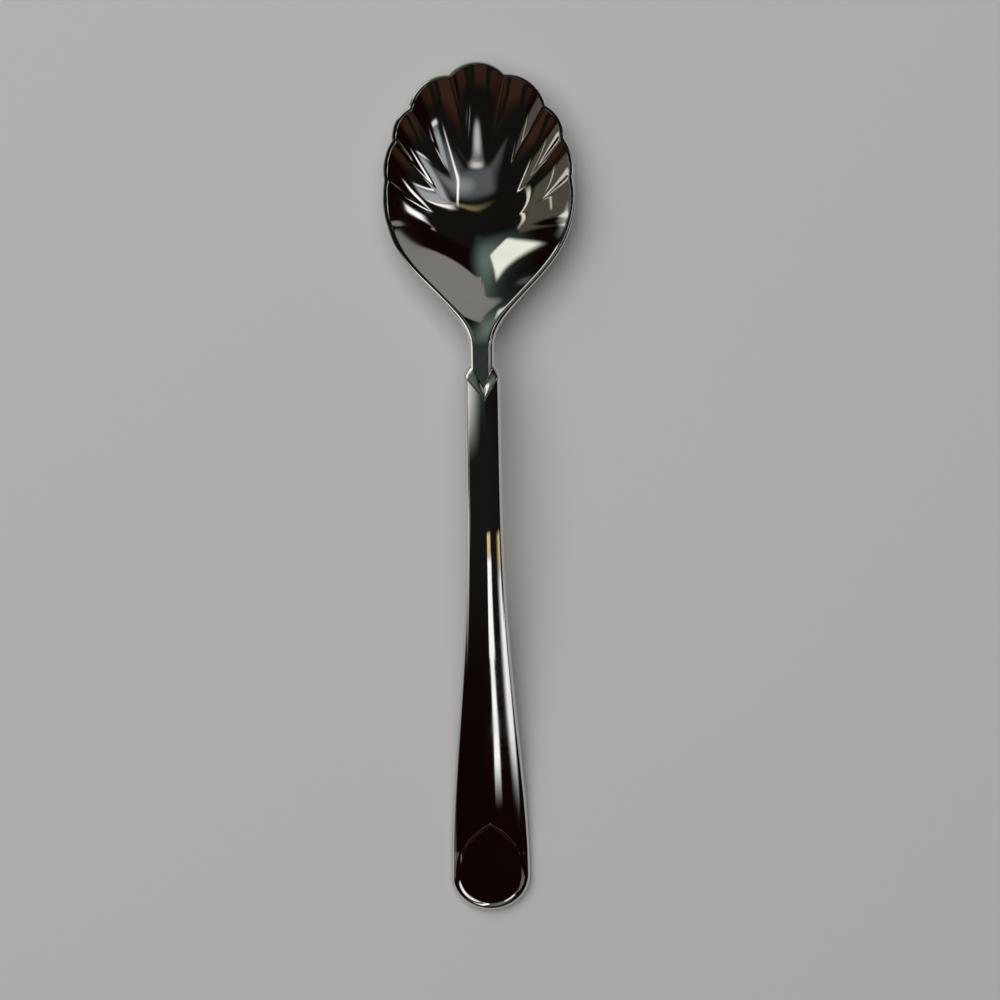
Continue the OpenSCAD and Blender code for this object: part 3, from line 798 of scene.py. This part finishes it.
# lights close over the spoon, on level sheets that only polished metal shows: soft bands, each from one
# place to another, in mm; a sheet lights only its own pieces
sheetHalf = 150.0
lightSheets = {
    "ceilingSheet": {
        "level": 110.0,
        "pieces": [bowlPiece],
        "bands": {
            "ceiling": {
                "from": (0, -150), "to": (0, 150), "half": 150, "soft": 0.2,
                "glow": 0.0055, "color": (0.36, 1.0, 0.84),
            },
        },
    },
    "highSheet": {
        "level": 90.0,
        "pieces": [bowlPiece],
        "bands": {
            "middleBand": {
                "from": (-32, 35), "to": (35, 39), "half": 8, "soft": 0.5,
                "glow": 0.12, "color": (0.86, 0.93, 1.0),
            },
            "middleLeft": {
                "from": (-16, 37), "to": (62, 40), "half": 8, "soft": 1.0,
                "glow": 0.32, "color": (0.86, 0.93, 1.0),
            },
            "middleSpot": {
                "from": (-12, 29.2), "to": (16, 29.2), "half": 2.2, "soft": 0.9,
                "glow": 0.75, "color": (1.0, 1.0, 1.0),
            },
            "goldLine": {
                "from": (-30, 46), "to": (80, 52), "half": 1.8, "soft": 0.8,
                "glow": 0.22, "color": (1.0, 0.72, 0.36),
            },
        },
    },
    "bowlSheet": {
        "level": 60.0,
        "pieces": [bowlPiece],
        "bands": {
            "rightBand": {
                "from": (26, 47), "to": (62, 54), "half": 8, "soft": 0.6,
                "glow": 0.45, "color": (0.9, 0.96, 1.0),
            },
            "rightEdge": {
                "from": (16, 38), "to": (22, 52), "half": 1.4, "soft": 0.7,
                "glow": 1.2, "color": (1.0, 1.0, 1.0),
            },
            "rightRim": {
                "from": (21, 51), "to": (57, 59), "half": 1.6, "soft": 0.7,
                "glow": 1.2, "color": (1.0, 1.0, 1.0),
            },
            "rightTop": {
                "from": (24, 38.5), "to": (62, 46), "half": 1.5, "soft": 0.7,
                "glow": 1.1, "color": (1.0, 1.0, 1.0),
            },
            "endWallLeft": {
                "from": (-70, 36), "to": (-70, -100), "half": 28, "soft": 0.3,
                "glow": 0.032, "color": (1.0, 0.32, 0.16),
            },
            "endWallMiddle": {
                "from": (-12, 36), "to": (-12, -100), "half": 20, "soft": 0.3,
                "glow": 0.04, "color": (1.0, 0.3, 0.14),
            },
            "endWallRight": {
                "from": (56, 36), "to": (56, -100), "half": 26, "soft": 0.3,
                "glow": 0.032, "color": (1.0, 0.32, 0.16),
            },
            "endStripe": {
                "from": (19, 30), "to": (22, -100), "half": 6, "soft": 0.6,
                "glow": 0.035, "color": (1.0, 0.62, 0.22),
            },
            "rightSpot": {
                "from": (66, 80), "to": (112, 64), "half": 16, "soft": 0.5,
                "glow": 1.4, "color": (1.0, 1.0, 1.0),
            },
        },
    },
    "neckSheet": {
        "level": 20.0,
        "pieces": [bowlPiece],
        "bands": {
            "neckFlank": {
                "from": (-24, 22), "to": (-24, 36), "half": 14, "soft": 0.5,
                "glow": 1.2, "color": (0.97, 1.0, 0.93),
            },
        },
    },
    "handleSheet": {
        "level": 30.0,
        "pieces": [frontPiece, backPiece],
        "bands": {
            "crownStrip": {
                "from": (5.5, -19), "to": (5.5, -69), "half": 2.3, "soft": 0.25,
                "glow": 1.3, "color": (1.0, 1.0, 1.0),
            },
            "crownUpper": {
                "from": (5.5, -15), "to": (5.5, -45), "half": 3.6, "soft": 0.25,
                "glow": 1.3, "color": (1.0, 1.0, 1.0),
            },
            "crownGold": {
                "from": (5, -10), "to": (5, -20), "half": 3.6, "soft": 0.3,
                "glow": 0.8, "color": (1.0, 0.8, 0.42),
            },
            "edgeStrip": {
                "from": (24, -15), "to": (24, -70), "half": 10, "soft": 0.4,
                "glow": 1.2, "color": (1.0, 1.0, 1.0),
            },
            "edgeWide": {
                "from": (55, -34), "to": (55, -71), "half": 40, "soft": 0.4,
                "glow": 1.1, "color": (1.0, 1.0, 1.0),
            },
            "edgeGold": {
                "from": (24, -10), "to": (24, -22), "half": 10, "soft": 0.4,
                "glow": 0.8, "color": (1.0, 0.8, 0.42),
            },
            "mouthGlow": {
                "from": (-20, 6), "to": (-20, 44), "half": 15, "soft": 1.0,
                "glow": 0.95, "color": (0.95, 1.0, 0.92),
            },
            "ceiling": {
                "from": (0, 60), "to": (0, -60), "half": 60, "soft": 1.0,
                "glow": 0.01, "color": (0.5, 1.0, 0.95),
            },
            "leftStrip": {
                "from": (-70, 4), "to": (-70, -50), "half": 52, "soft": 0.5,
                "glow": 0.5, "color": (1.0, 0.92, 0.76),
            },
        },
    },
}


def towards(turnDown):
    turn, down = (math.radians(v) for v in turnDown)
    return np.array([math.sin(down) * math.cos(turn), math.sin(down) * math.sin(turn), math.cos(down)])


aheadLeast = 0.05  # a patch shows only where the way to it is this far ahead


def lightPatch():
    # patch of light: its lengthways and sideways offsets over the way ahead, faded smoothly towards
    # its four edges
    group, source, sink = newGroup(
        "lightPatch",
        [
            ("Vector", "NodeSocketVector", None),
            ("Ahead", "NodeSocketVector", None),
            ("Along", "NodeSocketVector", None),
            ("Across", "NodeSocketVector", None),
            ("Half Length", "NodeSocketFloat", 1.0),
            ("Half Width", "NodeSocketFloat", 1.0),
            ("Soft", "NodeSocketFloat", 0.5),
        ],
        [("Mask", "NodeSocketFloat")],
    )
    links = group.links
    front = addNode(group, "ShaderNodeVectorMath", {"operation": "DOT_PRODUCT"})
    links.new(source.outputs["Vector"], front.inputs[0])
    links.new(source.outputs["Ahead"], front.inputs[1])
    ahead = addNode(group, "ShaderNodeMath", {"operation": "GREATER_THAN"}, {1: aheadLeast})
    links.new(front.outputs["Value"], ahead.inputs[0])
    mask = ahead.outputs[0]
    for axis, size in (("Along", "Half Length"), ("Across", "Half Width")):
        side = addNode(group, "ShaderNodeVectorMath", {"operation": "DOT_PRODUCT"})
        slope = addNode(group, "ShaderNodeMath", {"operation": "DIVIDE"})
        share = addNode(group, "ShaderNodeMath", {"operation": "DIVIDE"})
        away = addNode(group, "ShaderNodeMath", {"operation": "ABSOLUTE"})
        inside = addNode(group, "ShaderNodeMath", {"operation": "SUBTRACT"}, {0: 1.0})
        fade = addNode(group, "ShaderNodeMapRange", {"interpolation_type": "SMOOTHSTEP"})
        both = addNode(group, "ShaderNodeMath", {"operation": "MULTIPLY"})
        links.new(source.outputs["Vector"], side.inputs[0])
        links.new(source.outputs[axis], side.inputs[1])
        links.new(side.outputs["Value"], slope.inputs[0])
        links.new(front.outputs["Value"], slope.inputs[1])
        links.new(slope.outputs[0], share.inputs[0])
        links.new(source.outputs[size], share.inputs[1])
        links.new(share.outputs[0], away.inputs[0])
        links.new(away.outputs[0], inside.inputs[1])
        links.new(inside.outputs[0], fade.inputs["Value"])
        links.new(source.outputs["Soft"], fade.inputs["From Max"])
        links.new(mask, both.inputs[0])
        links.new(fade.outputs["Result"], both.inputs[1])
        mask = both.outputs[0]
    links.new(mask, sink.inputs["Mask"])
    return group


def roomPlace(look):
    start, end = towards(look["from"]), towards(look["to"])
    ahead = (start + end) / np.linalg.norm(start + end)
    along = (end - start) / np.linalg.norm(end - start)
    return {
        "Ahead": ahead,
        "Along": along,
        "Across": np.cross(ahead, along),
        "Half Length": np.linalg.norm(end - start) / np.linalg.norm(start + end),
        "Half Width": math.tan(math.radians(look["half"])),
    }


def sheetPlace(look):  # the third number of each axis moves the middle of the band to the origin
    start, end = np.array(look["from"], float), np.array(look["to"], float)
    along = (end - start) / np.linalg.norm(end - start)
    across = np.array([-along[1], along[0]])
    middle = (start + end) / 2
    return {
        "Ahead": (0.0, 0.0, 1.0),
        "Along": (along[0], along[1], -along @ middle),
        "Across": (across[0], across[1], -across @ middle),
        "Half Length": np.linalg.norm(end - start) / 2,
        "Half Width": look["half"],
    }


def addPatches(tree, patchGroup, vector, ground, looks, placeOf):  # the brightest patch wins at each place
    base = addNode(tree, "ShaderNodeCombineXYZ", values={"X": ground[0], "Y": ground[1], "Z": ground[2]})
    light = base.outputs["Vector"]
    for look in looks.values():
        node = addNode(tree, "ShaderNodeGroup", {"node_tree": patchGroup})
        for name, value in placeOf(look).items():
            node.inputs[name].default_value = value
        node.inputs["Soft"].default_value = look["soft"]
        glow = addNode(tree, "ShaderNodeVectorMath", {"operation": "SCALE"})
        glow.inputs[0].default_value = np.array(look["color"]) * look["glow"]
        more = addNode(tree, "ShaderNodeVectorMath", {"operation": "MAXIMUM"})
        tree.links.new(vector, node.inputs["Vector"])
        tree.links.new(node.outputs["Mask"], glow.inputs["Scale"])
        tree.links.new(light, more.inputs[0])
        tree.links.new(glow.outputs["Vector"], more.inputs[1])
        light = more.outputs["Vector"]
    return light


def makeRoom(patchGroup):
    world = bpy.data.worlds.new("room")
    world.use_nodes = True
    tree = world.node_tree
    place = addNode(tree, "ShaderNodeTexCoord")
    light = addPatches(tree, patchGroup, place.outputs["Generated"], roomGround, roomPanels, roomPlace)
    tree.links.new(light, tree.nodes["Background"].inputs["Color"])
    bpy.context.scene.world = world


def sheetMaterial(name, bands, patchGroup):  # clear, with the bands of light added
    material, tree, shader = newMaterial(name)
    tree.nodes.remove(shader)
    place = addNode(tree, "ShaderNodeNewGeometry")
    level = addNode(tree, "ShaderNodeVectorMath", {"operation": "MULTIPLY_ADD"})
    level.inputs[1].default_value = (1 / mm, 1 / mm, 0.0)
    level.inputs[2].default_value = (0.0, 0.0, 1.0)
    tree.links.new(place.outputs["Position"], level.inputs[0])
    light = addPatches(tree, patchGroup, level.outputs["Vector"], (0.0, 0.0, 0.0), bands, sheetPlace)
    shine = addNode(tree, "ShaderNodeEmission")
    clear = addNode(tree, "ShaderNodeBsdfTransparent")
    both = addNode(tree, "ShaderNodeAddShader")
    tree.links.new(light, shine.inputs["Color"])
    tree.links.new(shine.outputs[0], both.inputs[0])
    tree.links.new(clear.outputs[0], both.inputs[1])
    tree.links.new(both.outputs[0], tree.nodes["Material Output"].inputs["Surface"])
    return material


def makeSheet(name, sheet, patchGroup):
    material = sheetMaterial(name, sheet["bands"], patchGroup)
    obj = levelSquare(name, sheetHalf * mm, sheet["level"] * mm, material)
    obj.visible_camera = False
    obj.visible_diffuse = False
    obj.visible_shadow = False
    lit = bpy.data.collections.new(name + "Lit")
    for piece in sheet["pieces"]:
        lit.objects.link(piece)
    obj.light_linking.receiver_collection = lit


patches = lightPatch()
makeRoom(patches)
for sheetName, sheetLook in lightSheets.items():
    makeSheet(sheetName, sheetLook, patches)
print("stage and lights done")

# camera straight above, turned so that the bowl leans left as photographed
view = {"middle": (0.00284, -0.00218), "height": 0.46, "width": 0.1808, "turn": -1.01, "lens": 90.0}
cameraData = bpy.data.cameras.new("camera")
cameraData.lens = view["lens"]
cameraData.sensor_width = view["width"] / view["height"] * view["lens"]
cameraObject = bpy.data.objects.new("camera", cameraData)
bpy.context.scene.collection.objects.link(cameraObject)
cameraObject.location = (view["middle"][0], view["middle"][1], view["height"])
cameraObject.rotation_euler = (0.0, 0.0, math.radians(view["turn"]))
bpy.context.scene.camera = cameraObject
bpy.context.scene.view_settings.view_transform = "Standard"
